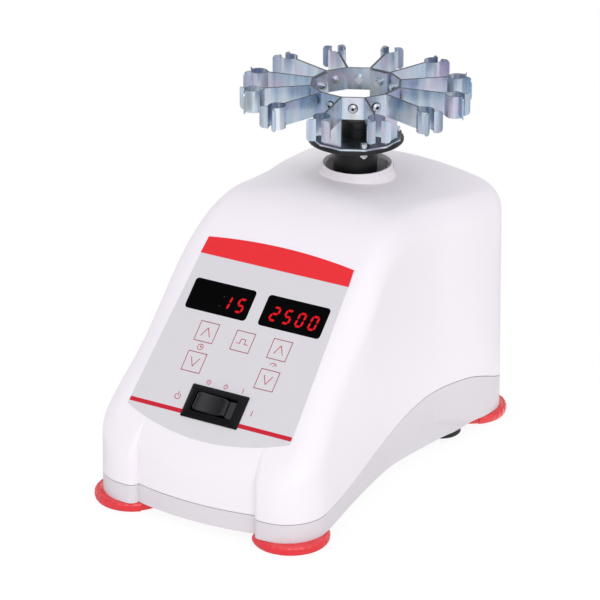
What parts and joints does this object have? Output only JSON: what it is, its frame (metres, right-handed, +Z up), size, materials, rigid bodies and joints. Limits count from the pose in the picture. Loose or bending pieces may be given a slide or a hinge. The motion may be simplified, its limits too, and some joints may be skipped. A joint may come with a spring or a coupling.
{
  "type": "vortex mixer",
  "caption": "Bench-top vortex mixer with a sloped control panel and an orbiting head that carries a ring of spring clips for test tubes.",
  "frame": {"origin": "middle of the footprint over the feet, at the height of the bench", "axes": "+Z up from the bench, -Y towards the user at the control panel, +X to the user's right"},
  "size_m": [0.2042, 0.3374, 0.2893],
  "materials": {
    "housing_white": "satin white, faintly lilac",
    "base_grey": "satin light grey",
    "cover_steel": "zinc plated",
    "foot_red": "glossy red",
    "rubber_black": "black",
    "screw_steel": "bright",
    "film_grey": "printed film, light grey with red bands",
    "window_black": "black tinted window, glossy",
    "led_red": "LED module, dark red",
    "board_green": "circuit board",
    "switch_black": "black",
    "plunger_white": "white",
    "core_steel": "laminated steel and windings",
    "motor_alu": "die cast",
    "head_black": "black, satin",
    "holder_zinc": "zinc plated sheet, bluish"
  },
  "bodies": {
    "base": {"upper_housing": "housing_white", "lower_base": "base_grey", "bottom_cover": "cover_steel", "foot_front_left": "foot_red", "foot_front_right": "foot_red", "foot_rear_left": "foot_red", "foot_rear_right": "foot_red", "side_pads": "rubber_black", "base_screws": "screw_steel", "panel_film": "film_grey", "window_time": "window_black", "window_speed": "window_black", "display_time": "led_red", "display_speed": "led_red", "control_board": "board_green", "rocker_bezel": "switch_black", "mains_inlet": "switch_black", "power_board": "board_green", "transformer": "core_steel", "motor_stand": "cover_steel", "post_clips": "screw_steel", "rubber_mounts": "rubber_black", "touch_switch": "switch_black", "neck_boot": "rubber_black"},
    "carriage": {"motor_plate": "cover_steel", "motor_can": "motor_alu", "motor_end_cap": "motor_alu", "stator": "core_steel", "shaft_bearings": "screw_steel"},
    "rotor": {"motor_shaft": "screw_steel", "rotor_core": "core_steel", "eccentric_hub": "motor_alu", "counterweight": "core_steel"},
    "head": {"head_bearing": "screw_steel", "head_post": "head_black", "dish": "head_black", "center_knob": "head_black", "tube_cage": "holder_zinc", "cage_screws": "screw_steel", "clip_ring": "holder_zinc", "clip_screws": "screw_steel", "clip_01": "holder_zinc", "clip_02": "holder_zinc", "clip_03": "holder_zinc", "clip_04": "holder_zinc", "clip_05": "holder_zinc", "clip_06": "holder_zinc", "clip_07": "holder_zinc", "clip_08": "holder_zinc", "clip_09": "holder_zinc", "clip_10": "holder_zinc", "clip_11": "holder_zinc", "clip_12": "holder_zinc"},
    "rocker_body": {"rocker": "switch_black"},
    "plunger": {"switch_plunger": "plunger_white"},
    "key_time_up_body": {"key_time_up": "film_grey"},
    "key_time_down_body": {"key_time_down": "film_grey"},
    "key_speed_up_body": {"key_speed_up": "film_grey"},
    "key_speed_down_body": {"key_speed_down": "film_grey"},
    "key_pulse_body": {"key_pulse": "film_grey"}
  },
  "joints": [
    {"name": "touch_press", "type": "slide", "parent": "base", "child": "carriage", "axis": [0, 0, -1], "range_m": [0, 0.0015], "stiffness_N_per_m": 6000, "deforming": ["rubber_mounts", "neck_boot"]},
    {"name": "drive_spin", "type": "hinge", "parent": "carriage", "child": "rotor", "pos_m": [0, 0.078, 0.1], "axis": [0, 0, 1], "continuous": true},
    {"name": "head_orbit", "type": "hinge", "parent": "rotor", "child": "head", "pos_m": [0, 0.07555, 0.13], "axis": [0, 0, 1], "continuous": true},
    {"name": "rocker_tilt", "type": "hinge", "parent": "base", "child": "rocker_body", "pos_m": [0, -0.1292, 0.08834], "axis": [0, 0.7145, 0.6997], "range_deg": [-20, 0]},
    {"name": "plunger_press", "type": "slide", "parent": "base", "child": "plunger", "axis": [0, 0, -1], "range_m": [0, 0.0015]},
    {"name": "key_time_up_press", "type": "slide", "parent": "base", "child": "key_time_up_body", "axis": [0, 0.6997, -0.7145], "range_m": [0, 0.0004], "stiffness_N_per_m": 800},
    {"name": "key_time_down_press", "type": "slide", "parent": "base", "child": "key_time_down_body", "axis": [0, 0.6997, -0.7145], "range_m": [0, 0.0004], "stiffness_N_per_m": 800},
    {"name": "key_speed_up_press", "type": "slide", "parent": "base", "child": "key_speed_up_body", "axis": [0, 0.6997, -0.7145], "range_m": [0, 0.0004], "stiffness_N_per_m": 800},
    {"name": "key_speed_down_press", "type": "slide", "parent": "base", "child": "key_speed_down_body", "axis": [0, 0.6997, -0.7145], "range_m": [0, 0.0004], "stiffness_N_per_m": 800},
    {"name": "key_pulse_press", "type": "slide", "parent": "base", "child": "key_pulse_body", "axis": [0, 0.6997, -0.7145], "range_m": [0, 0.0004], "stiffness_N_per_m": 800}
  ],
  "couplings": [
    {"joint": "head_orbit", "follows": "drive_spin", "ratio": -1},
    {"joint": "plunger_press", "follows": "touch_press", "ratio": 1}
  ]
}
